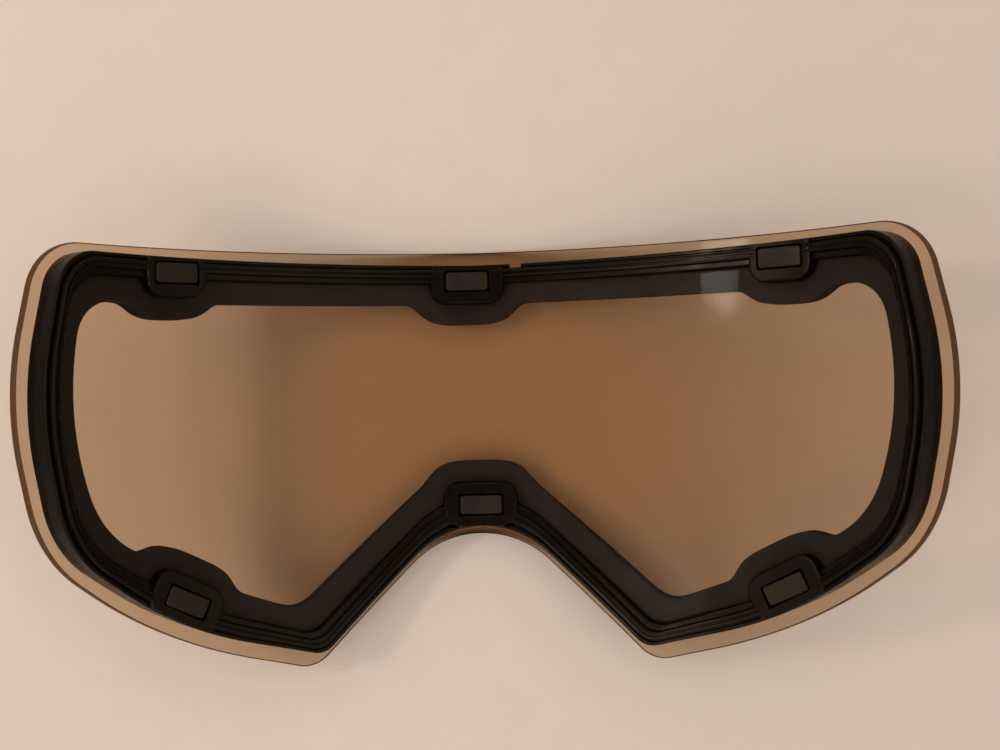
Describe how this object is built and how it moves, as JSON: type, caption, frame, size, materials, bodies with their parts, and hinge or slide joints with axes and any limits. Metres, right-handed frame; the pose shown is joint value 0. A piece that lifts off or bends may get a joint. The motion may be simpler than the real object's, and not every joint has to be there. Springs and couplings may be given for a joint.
{
  "type": "magnetic goggle lens",
  "caption": "Curved double-pane tinted goggle lens in a black carrier frame with a nose cut-out and magnetic seats on its inner face.",
  "frame": {"origin": "middle of the width and height, on the surface that the convex front lies on", "axes": "+X along the width, +Y towards the top edge as worn, +Z from the convex front towards the wearer's face"},
  "size_m": [0.1748, 0.0892, 0.05],
  "materials": {
    "tinted_lens": "polished tinted polycarbonate",
    "anti_fog_lens": "clear coated inner pane",
    "frame_plastic": "black moulded nylon, semi-gloss",
    "bond_tape": "black double-sided tape",
    "gasket_adhesive": "dark adhesive film",
    "spacer_foam": "dark grey closed-cell foam",
    "magnet": "nickel plated",
    "magnet_cap": "dark olive-grey moulded cover"
  },
  "bodies": {
    "root": {"outer_lens": "tinted_lens", "frame_bond_tape": "bond_tape", "lens_frame": "frame_plastic", "gasket_adhesive_front": "gasket_adhesive", "spacer_foam": "spacer_foam", "gasket_adhesive_back": "gasket_adhesive", "inner_lens": "anti_fog_lens", "magnet_top_left": "magnet", "magnet_cap_top_left": "magnet_cap", "magnet_top_center": "magnet", "magnet_cap_top_center": "magnet_cap", "magnet_top_right": "magnet", "magnet_cap_top_right": "magnet_cap", "magnet_lower_left": "magnet", "magnet_cap_lower_left": "magnet_cap", "magnet_lower_right": "magnet", "magnet_cap_lower_right": "magnet_cap", "magnet_nose": "magnet", "magnet_cap_nose": "magnet_cap"}
  },
  "joints": []
}
